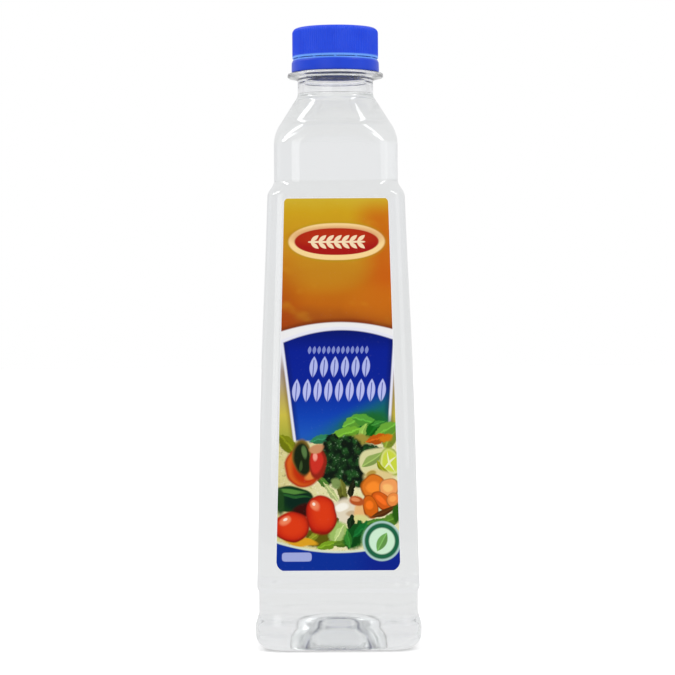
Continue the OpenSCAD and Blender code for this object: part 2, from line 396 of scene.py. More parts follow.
def collar_profile():
    """Up the neck, round the support ring and over the bead under the thread."""
    return [
        (NECK_R, RING_FOOT - 1.4 * MM),
        (NECK_R + 0.15 * MM, RING_FOOT - 0.95 * MM),
        (NECK_R + 0.6 * MM, RING_FOOT - 0.62 * MM),
        (RING_R - 0.8 * MM, RING_FOOT - 0.08 * MM),
        (RING_R - 0.35 * MM, RING_FOOT + 0.04 * MM),
        (RING_R - 0.1 * MM, RING_FOOT + 0.24 * MM),
        (RING_R, RING_FOOT + 0.5 * MM),
        (RING_R, RING_TOP - 0.36 * MM),
        (RING_R - 0.1 * MM, RING_TOP - 0.12 * MM),
        (RING_R - 0.34 * MM, RING_TOP),
        (FINISH_R + 0.3 * MM, RING_TOP),
        (FINISH_R + 0.08 * MM, RING_TOP + 0.08 * MM),
        (FINISH_R, RING_TOP + 0.3 * MM),
        (FINISH_R, BEAD_Z - 0.55 * MM),
        (THREAD_R - 0.12 * MM, BEAD_Z - 0.08 * MM),
        (THREAD_R, BEAD_Z),
        (THREAD_R - 0.1 * MM, BEAD_Z + 0.14 * MM),
        (FINISH_R + 0.1 * MM, BEAD_Z + 1.02 * MM),
        (FINISH_R, BEAD_Z + 1.2 * MM),
    ]


def rim_profile():
    """Over the rim, down the bore and out into the top of the cone."""
    bore_foot = NECK_FOOT + 0.6 * MM
    return [
        (FINISH_R - 0.12 * MM, RIM_Z - 0.14 * MM),
        (FINISH_R - 0.4 * MM, RIM_Z),
        (BORE_R + 0.3 * MM, RIM_Z),
        (BORE_R + 0.08 * MM, RIM_Z - 0.08 * MM),
        (BORE_R, RIM_Z - 0.3 * MM),
        *[(BORE_R, mix(RIM_Z - MM, bore_foot, i / 6)) for i in range(7)],
        (BORE_R + 0.04 * MM, NECK_FOOT),
    ]


def make_bottle(material):
    """One skin: out under the base, up the outside, over the rim, and down the inside."""
    side = body_outline()
    thread_z = (BEAD_Z + 1.4 * MM, RIM_Z - 0.5 * MM)
    thread_steps = 44
    finish = [(FINISH_R, mix(*thread_z, i / thread_steps), 0) for i in range(thread_steps + 1)]
    inner = [s for s in set_in(side, wall_at) if s[1] < NECK_FOOT - MM]
    rings = [ring_points(s) for s in side + neck_fillet()]
    rings += [ring_points((r, z, 0)) for r, z in collar_profile()]
    rings += [ring_points(s, bottle_thread) for s in finish]
    rings += [ring_points((r, z, 0)) for r, z in rim_profile()]
    rings += [ring_points(s) for s in reversed(inner)]
    points, faces = skin(rings, (0, 0, PUSH_UP_H), (0, 0, PUSH_UP_H + BASE_WALL))
    new_piece("pet_bottle", points, faces, "bottle", [material], 50)


def make_vinegar(material):
    """Fills the bottle to its level and reaches a little way into the wall, so no air shows between."""
    inner = set_in(body_outline(), lambda s: wall_at(s) - INTO_WALL)
    neck_r = BORE_R + INTO_WALL
    stations = [s for s in inner if s[1] < NECK_FOOT - MM] + [
        (neck_r + 0.05 * MM, NECK_FOOT, 0),
        (neck_r, LEVEL_Z - 0.3 * MM, 0),
        (neck_r, LEVEL_Z, 0),
    ]
    # The level dips a little away from the wall, by these millimetres
    dip = ((0.25, 0.12), (0.6, 0.3), (1.1, 0.45), (1.8, 0.54), (3, 0.58), (6, 0.6), (9, 0.6))
    stations += [(neck_r - away * MM, LEVEL_Z - drop * MM, 0) for away, drop in dip]
    rings = [ring_points(s) for s in stations]
    foot = PUSH_UP_H + BASE_WALL - INTO_WALL
    points, faces = skin(rings, (0, 0, foot), (0, 0, LEVEL_Z - dip[-1][1] * MM))
    new_piece("vinegar_fill", points, faces, "vinegar", [material], 60)


# -------- cap and tamper band

CAP_RIBS = 120
RIB_DEPTH = 0.17 * MM
CAP_EDGE = 1.9 * MM
SLIT = 0.2 * MM
BRIDGES = 12
BRIDGE_W = 0.7 * MM
BRIDGE_T = 0.6 * MM


def cap_profile():
    """Up the skirt, over the rounded edge to the middle, and back down the threaded bore."""
    foot = CAP_LOW.z
    top = CAP_HIGH.z
    found = [
        (CAP_BORE_R + 0.25 * MM, foot),
        (CAP_R - 0.14 * MM, foot),
        (CAP_R - 0.03 * MM, foot + 0.08 * MM),
    ]
    found += [(CAP_R, mix(foot + 0.3 * MM, top - CAP_EDGE, i / 8)) for i in range(1, 9)]
    for i in range(1, 11):
        turn = math.pi / 2 * i / 10
        found.append((CAP_R - CAP_EDGE * (1 - math.cos(turn)), top - CAP_EDGE * (1 - math.sin(turn))))
    found += [
        (8 * MM, top),
        (4 * MM, top - HAIR),
        (HAIR, top - 0.03 * MM),
        (HAIR, RIM_Z + HAIR),
        (6 * MM, RIM_Z),
        (CAP_BORE_R - 0.4 * MM, RIM_Z),
        (CAP_BORE_R - 0.1 * MM, RIM_Z - 0.1 * MM),
        (CAP_BORE_R, RIM_Z - 0.4 * MM),
    ]
    found += [(CAP_BORE_R, mix(RIM_Z - 0.4 * MM, foot + 0.5 * MM, i / 30)) for i in range(1, 30)]
    found.append((CAP_BORE_R + 0.05 * MM, foot + 0.15 * MM))
    return found


def cap_shape(angle, r, z):
    """How far ribs or thread move a point of the cap's profile, at one angle."""
    if abs(r - CAP_BORE_R) < 0.01 * MM and z < RIM_Z - 0.3 * MM:
        depth = CAP_BORE_R - FINISH_R - 0.15 * MM
        return -thread_height(angle, z, depth, THREAD_FOOT - THREAD_PITCH / 2)
    in_bore = r < CAP_BORE_R + 0.3 * MM and z < CAP_HIGH.z - 3 * MM
    if in_bore or r < CAP_R - 1.2 * MM:
        return 0
    wave = 0.5 - 0.5 * math.cos(angle * CAP_RIBS)
    strength = ease(share(z, CAP_LOW.z + 0.35 * MM, CAP_LOW.z + 0.9 * MM))
    strength *= ease(share(r, CAP_R - 0.9 * MM, CAP_R - 0.15 * MM))
    return -RIB_DEPTH * strength * wave ** 0.7


def make_cap(material):
    points, faces = revolve(cap_profile(), CAP_RIBS * 6, cap_shape)
    new_piece("screw_cap", points, faces, "cap", [material], 50)


def bridge(angle, low, high):
    """Points and faces of one upright post across the slit."""
    near = CAP_BORE_R + 0.03 * MM
    far = near + BRIDGE_T
    side = BRIDGE_W / 2
    points = []
    for z in (low, high):
        for r, across in ((near, -side), (far, -side), (far, side), (near, side)):
            x = r * math.cos(angle) - across * math.sin(angle)
            y = r * math.sin(angle) + across * math.cos(angle)
            points.append((x, y, z))
    faces = [(3, 2, 1, 0), (4, 5, 6, 7)]
    faces += [(k, (k + 1) % 4, (k + 1) % 4 + 4, k + 4) for k in range(4)]
    return points, faces


def make_band(material):
    foot = BAND_LOW.z
    top = CAP_LOW.z - SLIT
    lip_r = FINISH_R + 0.35 * MM
    profile = rounded([
        (CAP_BORE_R, foot, 0.05 * MM),
        (BAND_R - 0.05 * MM, foot, 0.25 * MM),
        (BAND_R, foot + 0.6 * MM, 0.3 * MM),
        (BAND_R - 0.08 * MM, top - 1.25 * MM, 0.25 * MM),
        (CAP_R - 0.38 * MM, top, 0.15 * MM),
        (CAP_BORE_R, top),
        (CAP_BORE_R, foot + 1.5 * MM),
        (lip_r, foot + 1.4 * MM),
        (lip_r, foot + 0.9 * MM),
    ], 0.1 * MM)
    points, faces = revolve(profile, 240)
    for i in range(BRIDGES):
        post, sides = bridge(2 * math.pi * i / BRIDGES, top - 0.2 * MM, CAP_LOW.z)
        faces += [tuple(len(points) + k for k in side) for side in sides]
        points += post
    new_piece("tamper_ring", points, faces, "tamper_band", [material], 40)


# -------- label

LABEL_FOOT = LABEL_LOW.z
LABEL_TOP = LABEL_HIGH.z
LABEL_T = 0.15 * MM
LABEL_CORNER_TOP = 1.7 * MM
LABEL_CORNER_FOOT = 3.4 * MM
LABEL_BORDER = 0.2 * MM
LABEL_SINK = 0.05 * MM


def label_half(z):
    t = (z - PANEL_FOOT) / (PANEL_TOP - PANEL_FOOT)
    return mix(PANEL_FOOT_F, PANEL_TOP_F, t) - 0.2 * MM


def label_edge(z):
    """Half width of the label at a height, with its corners rounded."""
    half = label_half(z)
    for r, away in ((LABEL_CORNER_FOOT, z - LABEL_FOOT), (LABEL_CORNER_TOP, LABEL_TOP - z)):
        if away < r:
            return half - r + math.sqrt(max(0, r * r - (r - away) ** 2))
    return half


def label_heights():
    """Heights of the label's rows: close together at its rounded corners, with one at each border."""
    tip = 0.004 * MM
    foot = [LABEL_FOOT + LABEL_CORNER_FOOT * (1 - math.cos(math.pi / 2 * i / 12)) for i in range(13)]
    top = [LABEL_TOP - LABEL_CORNER_TOP * (1 - math.cos(math.pi / 2 * i / 10)) for i in range(11)]
    foot[0] += tip
    top[0] -= tip
    middle = [mix(foot[-1], top[-1], i / 60) for i in range(1, 60)]
    return sorted([*foot, *middle, *top, LABEL_FOOT + LABEL_BORDER, LABEL_TOP - LABEL_BORDER])


def make_label(white, prints, reverse):
    """A film whose back lies a hair inside the panel, with a white border round its print."""
    heights = label_heights()
    columns = 16
    wide = columns + 3
    row = wide + 2
    points = []
    for z in heights:
        edge = label_edge(z)
        body = max(edge - LABEL_BORDER, edge * 0.9)
        across = [-edge, *[mix(-body, body, j / columns) for j in range(columns + 1)], edge]
        front = -(panel_half(z) + LABEL_T)
        for x in across:
            # The film's edge is rounded over by a hair
            points.append((x, front + (0.03 * MM if abs(x) == edge else 0), z))
        points += [(x, LABEL_SINK - panel_half(z), z) for x in (-edge, edge)]
    faces = []
    finishes = []
    for i, z in enumerate(heights[:-1]):
        middle = (z + heights[i + 1]) / 2
        inked = [k for k, zone in enumerate(ZONES) if zone[0] <= middle / MM < zone[1]][0] + 1
        if not LABEL_FOOT + LABEL_BORDER <= middle <= LABEL_TOP - LABEL_BORDER:
            inked = 0
        a = i * row
        b = a + row
        faces += [(a + j, a + j + 1, b + j + 1, b + j) for j in range(wide - 1)]
        finishes += [0] + [inked] * (wide - 3) + [0]
        # The back, and the two long edges
        faces.append((a + wide + 1, a + wide, b + wide, b + wide + 1))
        faces.append((a + wide, a, b, b + wide))
        faces.append((a + wide - 1, a + wide + 1, b + wide + 1, b + wide - 1))
        finishes += [len(ZONES) + 1, 0, 0]
    last = (len(heights) - 1) * row
    faces.append((wide, wide + 1, *range(wide - 1, -1, -1)))
    faces.append((*range(last, last + wide), last + wide + 1, last + wide))
    finishes += [0, 0]
    finish_list = [white, *prints, reverse]
    piece = new_piece("front_label", points, faces, "label", finish_list, 30)
    for face, which in zip(piece.data.polygons, finishes):
        face.material_index = which


# -------- shader maths

def ink(red, green, blue):
    """A screen colour of 0 to 255 as the linear colour that shaders use."""
    found = []
    for c in (red, green, blue):
        c = c / 255
        found.append(c / 12.92 if c <= 0.04045 else ((c + 0.055) / 1.055) ** 2.4)
    return (*found, 1)


class Value:
    """One value in a shader. Arithmetic on it adds Math nodes."""

    def __init__(self, shader, socket):
        self.shader = shader
        self.socket = socket

    def math(self, operation, *others):
        values = dict(enumerate((self, *others)))
        return self.shader.value("ShaderNodeMath", {"operation": operation}, values)

    def flipped(self, operation, other):
        return self.shader.value("ShaderNodeMath", {"operation": operation}, {0: other, 1: self})

    def __add__(self, other):
        return self.math("ADD", other)

    def __radd__(self, other):
        return self.flipped("ADD", other)

    def __sub__(self, other):
        return self.math("SUBTRACT", other)

    def __rsub__(self, other):
        return self.flipped("SUBTRACT", other)

    def __mul__(self, other):
        return self.math("MULTIPLY", other)

    def __rmul__(self, other):
        return self.flipped("MULTIPLY", other)

    def __truediv__(self, other):
        return self.math("DIVIDE", other)

    def __pow__(self, other):
        return self.math("POWER", other)

    def __abs__(self):
        return self.math("ABSOLUTE")

    def least(self, other):
        return self.math("MINIMUM", other)

    def most(self, other):
        return self.math("MAXIMUM", other)

    def step(self, low, high, start=0, end=1):
        """Runs smoothly from start to end as the value goes from low to high."""
        values = {0: self, 1: low, 2: high, 3: start, 4: end}
        return self.shader.value("ShaderNodeMapRange", {"interpolation_type": "SMOOTHSTEP"}, values)


class Shader:
    """The nodes of one material, or of the world that is given."""

    def __init__(self, name, world=None):
        self.material = world or bpy.data.materials.new(name)
        self.material.use_nodes = True
        self.tree = self.material.node_tree
        self.tree.nodes.clear()

    def node(self, kind, settings=None, values=None):
        """Adds a node: its settings first, then its sockets' values or links."""
        node = self.tree.nodes.new(kind)
        for key, setting in (settings or {}).items():
            if key == "stops":
                self.set_stops(node.color_ramp, setting)
            else:
                setattr(node, key, setting)
        for key, value in (values or {}).items():
            socket = node.inputs[key]
            if isinstance(value, Value):
                self.tree.links.new(value.socket, socket)
            else:
                socket.default_value = value
        return node

    @staticmethod
    def set_stops(ramp, stops):
        while len(ramp.elements) > 1:
            ramp.elements.remove(ramp.elements[-1])
        ramp.elements[0].position = stops[0][0]
        ramp.elements[0].color = stops[0][1]
        for position, colour in stops[1:]:
            ramp.elements.new(position).color = colour

    def value(self, kind, settings=None, values=None, output=0):
        return Value(self, self.node(kind, settings, values).outputs[output])

    def place(self):
        """Where a point is on the piece, in millimetres."""
        return self.scale(self.value("ShaderNodeTexCoord", output="Object"), 1 / MM)

    def parts(self, vector):
        node = self.node("ShaderNodeSeparateXYZ", {}, {0: vector})
        return [Value(self, out) for out in node.outputs]

    def vector(self, x, y, z=0.0):
        return self.value("ShaderNodeCombineXYZ", {}, {0: x, 1: y, 2: z})

    def vector_math(self, operation, values, output="Vector"):
        return self.value("ShaderNodeVectorMath", {"operation": operation}, values, output)

    def dot(self, vector, along):
        return self.vector_math("DOT_PRODUCT", {0: vector, 1: along}, "Value")

    def scale(self, vector, factor):
        return self.vector_math("SCALE", {0: vector, "Scale": factor})

    def sway(self, spot, size, far, detail=0.0):
        """Places on the film pushed about by noise, so that shapes drawn there have uneven outlines."""
        noise = self.noise(spot, size, detail, 0.6, colour=True)
        middle = self.vector_math("ADD", {0: spot, 1: (-far / 2, -far / 2, 0.0)})
        return self.vector_math("MULTIPLY_ADD", {0: noise, 1: (far, far, 0.0), 2: middle})

    def noise(self, vector, size, detail, rough=0.5, colour=False):
        """Noise whose features are about as wide as size."""
        values = {"Vector": vector, "Scale": 1 / size, "Detail": detail, "Roughness": rough}
        return self.value("ShaderNodeTexNoise", {}, values, "Color" if colour else "Fac")

    def ramp(self, factor, *stops):
        return self.value("ShaderNodeValToRGB", {"stops": stops}, {0: factor})

    def mix(self, below, above, factor):
        """Two colours mixed. The Mix node has its colours at sockets 6 and 7, and its result at 2."""
        return self.value("ShaderNodeMix", {"data_type": "RGBA"}, {0: factor, 6: below, 7: above}, 2)

    def bump(self, height, distance, strength):
        values = {"Height": height, "Distance": distance, "Strength": strength}
        return self.value("ShaderNodeBump", {}, values)

    def finish(self, values):
        return self.value("ShaderNodeBsdfPrincipled", {}, values)

    def from_camera(self, others, camera):
        """One finish for the light that goes about the scene, and another for the camera."""
        camera_ray = self.value("ShaderNodeLightPath", output="Is Camera Ray")
        return self.value("ShaderNodeMixShader", {}, {0: camera_ray, 1: others, 2: camera})

    def surface(self, values):
        return self.put_out(self.finish(values))

    def put_out(self, finish, kind="Material"):
        self.node(f"ShaderNodeOutput{kind}", {}, {"Surface": finish})
        return self.material


# -------- the label's print

# The print is one finish for each of these stretches of height, in millimetres
ZONES = ((20, 38), (38, 48), (48, 57), (57, 66), (66, 112), (112, 160))


class Print:
    """Inks laid over one another on one stretch of the film.

    A spot is a vector of a place's millimetres across, its millimetres up, and 1.
    """

    def __init__(self, shader, spot, ground, zone):
        self.shader = shader
        self.spot = spot
        self.colour = ground
        self.zone = zone

    def near(self, at, size):
        """Whether a shape comes into this stretch of the film."""
        far = max(size) * 1.3 + 2.5
        return self.zone[0] - far < at[1] < self.zone[1] + far

    def lay(self, mask, colour):
        self.colour = self.shader.mix(self.colour, colour, mask)

    def local(self, at, size, turn):
        """Where a point is across and up a turned shape, as shares of its half sizes."""
        found = []
        for length, bearing in zip(size, (turn, turn + 90)):
            across = math.cos(math.radians(bearing)) / length
            up = math.sin(math.radians(bearing)) / length
            found.append(self.shader.dot(self.spot, (across, up, -at[0] * across - at[1] * up)))
        return found

    def oval_mask(self, at, size, turn=0, soft=0.15):
        x, y = self.local(at, size, turn)
        return (x * x + y * y).step((1 + soft) ** 2, (1 - soft) ** 2)

    def oval(self, at, size, colour, turn=0, soft=0.15, amount=1.0):
        if not self.near(at, size):
            return
        mask = self.oval_mask(at, size, turn, soft)
        self.lay(mask * amount if amount != 1.0 else mask, colour)

    def leaf(self, at, size, colour, turn=0, soft=0.12, rib=0.45):
        """A pointed leaf, long along its own x, with a pale rib and one darker half."""
        if not self.near(at, size):
            return
        x, y = self.local(at, size, turn)
        body = (x * x + abs(y)).step(1 + soft, 1 - soft)
        self.lay(body, colour)
        if rib:
            self.lay(y.step(0.1, -0.3) * body * rib, tone(colour, 0.5))
            self.lay(abs(y).step(0.2, 0.04) * body * rib, tone(colour, 1.9))

    def plaque_mask(self, at, size, soft=0.06):
        x, y = self.local(at, size, 0)
        return (abs(x) ** 2.3 + abs(y) ** 2.0).step(1 + soft, 1 - soft)

    def bar_mask(self, at, size, soft=0.2):
        x, y = self.local(at, size, 0)
        return (abs(x) ** 12 + abs(y) ** 3).step(1 + soft, 1 - soft)

    def frieze(self, at, size, count, colour, ribbed=True):
        """A row of upright leaves, side by side."""
        if not self.near(at, (size[1], 1)):
            return
        x, y = self.local(at, size, 0)
        beat = ((x + 1) * (count / 2)).math("FRACT") - 0.5 - y * 0.09
        body = (abs(beat) * 2.7 + y * y).step(1.12, 0.88) * abs(x).step(1.0, 0.995)
        if ribbed:
            body = body * (1 - abs(beat).step(0.07, 0.03) * y.step(0.75, 0.6) * 0.8)
        self.lay(body, colour)


def tone(colour, gain):
    """A colour made darker or lighter."""
    return (*(min(1, channel * gain + 0.01 * (gain - 1)) for channel in colour[:3]), 1)


def paint_label(zone):
    """The print on one stretch of the film. Across is u and up is w, in millimetres."""
    s = Shader(f"label_print_{zone[0]}")
    u, _, w = s.parts(s.place())
    spot = s.vector(u, w, 1.0)
    grain = s.noise(spot, 0.9, 3.0)
    broad = s.noise(spot, 9.0, 2.0)

    # Gold field, paler at its top and browner at its foot
    ground = s.ramp(
        (w + (broad - 0.5) * 4 - 108) / 46,
        (0.02, ink(150, 62, 18)),
        (0.10, ink(168, 84, 18)),
        (0.19, ink(192, 102, 14)),
        (0.30, ink(196, 112, 15)),
        (0.42, ink(194, 114, 18)),
        (0.56, ink(200, 136, 26)),
        (0.70, ink(202, 146, 26)),
        (0.86, ink(207, 162, 26)),
        (1.0, ink(210, 182, 52)),
    )
    art = Print(s, spot, ground, zone)
    if zone[1] > 105:
        paint_gold(s, art, u, w)
    if zone[1] > 62 and zone[0] < 116:
        paint_cup(s, art, u, w)
    if zone[0] < 82:
        paint_salad(s, art, u, w)
    if zone[0] < 50:
        paint_foot(s, art, u, w)
    return s.surface({
        "Base Color": s.mix(art.colour, ink(255, 255, 255), grain.step(0.6, 0.9) * 0.03),
        "Roughness": 0.34 + grain * 0.08,
        "Specular IOR Level": 0.06,
        "Normal": s.bump(grain, 0.02 * MM, 0.3),
        "IOR": 1.5,
    })


def paint_gold(s, art, u, w):
    """The gold field's glows and streaks, and the oval plaque on it."""
    right = (u + (w - 130) * 0.12).step(5, 16)
    art.lay(right * w.step(110, 124) * w.step(154, 145) * 0.75, ink(202, 90, 12))
    art.oval((15.5, 117.0), (9.0, 5.0), ink(204, 112, 18), soft=0.7, amount=0.6)
    left = (0 - u).step(8, 19) * (1 - w.step(112, 134))
    art.lay(left * 0.75, ink(168, 64, 8))
    streaks = s.noise(s.vector(u * 0.35 + w * 0.25, w * 0.5 - u * 0.12), 4.2, 2.0)
    art.lay(streaks.step(0.55, 0.8) * 0.3, ink(222, 166, 40))
    art.lay((1 - streaks).step(0.6, 0.85) * 0.3, ink(164, 88, 6))
    art.oval((-2.0, 129.5), (10, 6), ink(200, 152, 34), 8, 0.8, 0.4)

    # A sprig on the red oval, where a name would stand
    plaque = (0.1, 137.8)
    art.lay(art.plaque_mask(plaque, (16.9, 6.9), 0.14) * 0.4, ink(176, 150, 26))
    art.lay(art.plaque_mask(plaque, (16.2, 6.2)), ink(250, 216, 150))
    art.lay(art.plaque_mask(plaque, (14.2, 4.5)), ink(168, 22, 18))
    art.oval((0.1, 139.4), (12.5, 3.0), ink(188, 52, 14), soft=0.5, amount=0.7)
    cream = ink(248, 222, 184)
    art.lay(art.bar_mask((0.1, 137.7), (9.6, 0.34)), cream)
    for i in range(7):
        for up, lean in ((138.9, 38), (136.5, -38)):
            art.leaf((2.6 * i - 7.3, up), (1.7, 0.66), cream, lean, rib=0)


def paint_cup(s, art, u, w):
    """The blue cup with its pale rim, and the ground beside it."""
    # White arc over the cup, with a brown line above it
    arc = w - (110.6 - (u - 1) * (u - 1) * 0.0078)
    art.lay(arc.step(1.9, 0.3) * 0.75, ink(120, 48, 8))
    below = arc.step(0.35, -0.25)
    art.lay(below, ink(240, 239, 239))

    # Beside the cup the ground runs from pale grey through yellow to olive
    side_ground = s.ramp(
        (w - 40) / 66,
        (0.0, ink(216, 214, 170)),
        (0.30, ink(222, 220, 168)),
        (0.395, ink(214, 214, 148)),
        (0.44, ink(134, 146, 44)),
        (0.49, ink(166, 170, 60)),
        (0.60, ink(205, 190, 72)),
        (0.70, ink(186, 166, 96)),
        (0.82, ink(172, 156, 150)),
        (0.92, ink(226, 224, 230)),
        (1.0, ink(240, 240, 246)),
    )
    under = (u * 0.1 + w).step(104.4, 101.5)
    art.lay(under * below, side_ground)
    left_edge = u - (-18.0 + (103.7 - w) * 0.1246)
    right_edge = (18.9 - (104.7 - w) * 0.068) - u
    inside = left_edge.least(right_edge)
    low_zone = w.step(66, 71)
    art.lay(inside.step(-2.6, -0.9) * w.step(100, 92) * low_zone * 0.55, ink(126, 96, 40))
    cup_top = 108.0 - (u - 1.5) * (u - 1.5) * 0.0108 - w
    rim_of_cup = inside.least(cup_top + 0.2)
    art.lay(rim_of_cup.step(-1.2, -0.55) * low_zone, ink(232, 232, 244))

    blue = s.ramp(
        (w - 68) / 40,
        (0.0, ink(26, 96, 150)),
        (0.12, ink(26, 86, 188)),
        (0.27, ink(10, 66, 180)),
        (0.40, ink(6, 52, 166)),
        (0.55, ink(4, 34, 150)),
        (0.82, ink(3, 30, 146)),
        (0.93, ink(2, 24, 124)),
        (1.0, ink(2, 20, 104)),
    )
    hill = (u + 6) * 0.5 + 71.5 - w
    blue = s.mix(blue, ink(18, 104, 96), hill.step(-6.5, 1.5) * u.step(-14, 4))
    art.lay(inside.least(cup_top).step(-0.3, 0.3) * low_zone, blue)
    shade = inside.step(2.2, 0.2) * inside.step(-0.2, 0.2) * cup_top.step(-0.2, 0.4)
    art.lay(shade * low_zone * 0.5, ink(8, 18, 84))

    # Rows of leaves where words would stand
    art.frieze((0.4, 101.3), (10.4, 1.35), 13, ink(128, 140, 206), False)
    art.frieze((0.9, 95.6), (10.6, 3.6), 6, ink(178, 186, 238))
    art.frieze((0.6, 87.7), (16.2, 3.9), 9, ink(186, 192, 242))


def paint_foot(s, art, u, w):
    """The blue foot with its pale line, a plain bar and a round seal with a leaf."""
    foot = w - (33.2 + (u - 0.5) * (u - 0.5) * 0.0075)
    art.lay(foot.step(1.0, 0.3), ink(214, 226, 206))
    art.lay(foot.step(0.25, -0.25), s.mix(ink(4, 46, 150), ink(8, 34, 140), u.step(2, 14)))
    art.lay(art.bar_mask((-13.9, 31.9), (5.0, 1.5), 0.3), ink(160, 170, 222))
    seal = (14.7, 37.1)
    art.oval(seal, (6.5, 6.7), ink(176, 208, 200), soft=0.04)
    art.oval(seal, (5.8, 6.0), ink(26, 100, 66), soft=0.06)
    art.oval(seal, (4.3, 4.4), ink(208, 240, 210), soft=0.08)
    art.leaf((14.7, 36.8), (3.5, 1.6), ink(112, 168, 84), 62, 0.12)


def paint_salad(s, art, u, w):
    """The salad in the cup's foot. Hard things keep smooth outlines, and leaves get ragged ones."""
    spot = art.spot
    smooth = s.sway(spot, 5.0, 1.6)
    ragged = s.sway(spot, 2.0, 2.0, 3.0)
    fine = s.noise(spot, 0.7, 2.0)
    crumbs = s.noise(spot, 1.5, 3.0, 0.6)

    # Pale ground, with small lights and shadows of leaves
    edge = (w + (crumbs - 0.5) * 2.5).step(71.3, 69.8)
    art.lay(edge, s.mix(ink(232, 226, 176), ink(218, 208, 144), (0 - u).step(0, 16)))
    art.lay(edge * crumbs.step(0.56, 0.64) * 0.45, ink(170, 176, 84))
    art.lay(edge * fine.step(0.60, 0.70) * 0.4, ink(250, 248, 232))

    art.spot = ragged
    paint_lettuce(art)
    paint_broccoli(s, art, fine)
    art.lay(edge * crumbs.step(0.40, 0.32) * 0.35, ink(40, 38, 8))
    art.spot = smooth
    paint_cut_tomato(art)
    paint_carrots(art)
    paint_cucumber(art)
    art.spot = ragged
    paint_front_leaves(art)
    art.spot = smooth
    tomato(art, (-5.6, 46.0), (5.2, 6.8), -6)
    art.oval((-12.9, 37.0), (5.6, 1.5), ink(222, 160, 30), -6, 0.2)
    tomato(art, (-15.6, 41.9), (5.9, 5.2), 0)
    art.spot = spot


def paint_lettuce(art):
    """Light lettuce that rises into the blue, between olive leaf tips."""
    art.leaf((-16.6, 69.6), (4.6, 2.4), ink(126, 134, 14), -48)
    art.leaf((17.8, 71.8), (5.0, 2.2), ink(136, 156, 50), 60)
    art.oval((9.5, 75.0), (8.5, 5.2), ink(26, 104, 44), 12, 0.3)
    art.leaf((5.2, 77.0), (4.0, 2.2), ink(104, 170, 56), 24)
    art.leaf((9.0, 77.6), (4.6, 1.9), ink(84, 160, 54), -14)
    art.leaf((2.2, 73.0), (6.4, 2.1), ink(114, 176, 50), 18)
    art.leaf((12.0, 74.4), (4.4, 2.2), ink(16, 98, 16), 52)
    art.leaf((16.4, 74.4), (4.6, 2.4), ink(106, 168, 54), 30)
    art.leaf((-5.6, 71.4), (4.0, 1.5), ink(48, 128, 88), 12)
    art.leaf((8.4, 73.6), (3.4, 1.1), ink(150, 196, 84), 64)
    art.leaf((13.6, 76.6), (2.6, 0.9), ink(60, 140, 50), 20)
    art.oval((7.6, 71.0), (3.4, 1.9), ink(158, 146, 58), 0, 0.3)
    art.leaf((13.8, 71.4), (4.6, 1.7), ink(194, 88, 8), 12)
    art.oval((16.4, 71.6), (2.2, 1.2), ink(212, 122, 14), 10, 0.3)


def paint_broccoli(s, art, fine):
    """Heads of dark florets, with stalks and small leaves under them."""
    if art.near((0, 64), (9, 9)):
        heads = art.oval_mask((-0.6, 66.4), (5.8, 5.6), 0, 0.12)
        for at, size in (
            ((3.2, 68.4), (5.2, 4.2)), ((2.6, 61.4), (7.6, 6.0)), ((-3.4, 60.6), (3.6, 4.6)),
            ((10.4, 67.2), (4.8, 2.3)), ((7.2, 58.6), (3.2, 3.6)), ((-1.6, 71.4), (2.4, 1.6)),
        ):
            heads = heads.most(art.oval_mask(at, size, 0, 0.14))
        # Each floret is a small dome that is lit from above
        values = {"Vector": art.spot, "Scale": 0.52}
        florets = s.value("ShaderNodeTexVoronoi", {"feature": "SMOOTH_F1"}, values)
        domes = florets.step(0.62, 0.12)
        art.lay(heads, s.mix(ink(6, 22, 10), ink(30, 78, 30), domes))
        buds = s.value("ShaderNodeTexVoronoi", {}, {"Vector": art.spot, "Scale": 1.6})
        art.lay(heads * buds.step(0.34, 0.1) * domes * 0.6, ink(74, 124, 62))
        art.lay(heads * fine.step(0.6, 0.7) * domes * 0.7, ink(150, 182, 140))
    art.leaf((-5.0, 57.0), (3.4, 1.2), ink(80, 128, 46), -42)
    art.leaf((-2.2, 53.4), (4.6, 1.0), ink(190, 204, 134), -52)
    art.leaf((1.6, 53.6), (4.6, 1.6), ink(106, 110, 38), -80)
    art.oval((-0.6, 56.4), (1.5, 1.8), ink(126, 150, 84), 0, 0.3)
    art.oval((1.6, 50.6), (1.2, 1.8), ink(62, 62, 4), 0, 0.3)
    art.leaf((4.6, 54.6), (3.2, 1.2), ink(28, 30, 8), 78)


def paint_cut_tomato(art):
    """A cut tomato with a dark middle, and the red slice beside it."""
    art.oval((-11.6, 62.0), (6.1, 6.6), ink(176, 44, 8), -10, 0.08)
    art.oval((-11.4, 62.2), (5.5, 6.0), ink(216, 96, 26), -10, 0.12)
    art.oval((-10.4, 61.8), (4.8, 5.0), ink(190, 46, 4), -10, 0.2)
    art.oval((-9.0, 59.4), (2.2, 1.2), ink(236, 150, 70), 20, 0.35, 0.8)
    art.oval((-11.8, 65.4), (3.3, 5.9), ink(120, 96, 34), 2, 0.12)
    art.oval((-11.8, 64.6), (2.8, 5.4), ink(20, 34, 10), 4, 0.16)
    art.oval((-11.2, 66.8), (0.9, 2.0), ink(86, 120, 66), 10, 0.4)
    art.oval((-12.6, 62.2), (0.5, 1.6), ink(60, 84, 40), -8, 0.4)
    art.oval((-6.6, 63.2), (2.7, 5.0), ink(146, 34, 18), -6, 0.14)
    art.oval((-6.9, 64.0), (1.9, 3.8), ink(206, 48, 34), -6, 0.22)
    art.oval((-7.3, 65.6), (0.6, 1.3), ink(246, 160, 140), -6, 0.4)
    art.oval((-7.0, 68.0), (2.3, 1.3), ink(204, 144, 100), 10, 0.25)


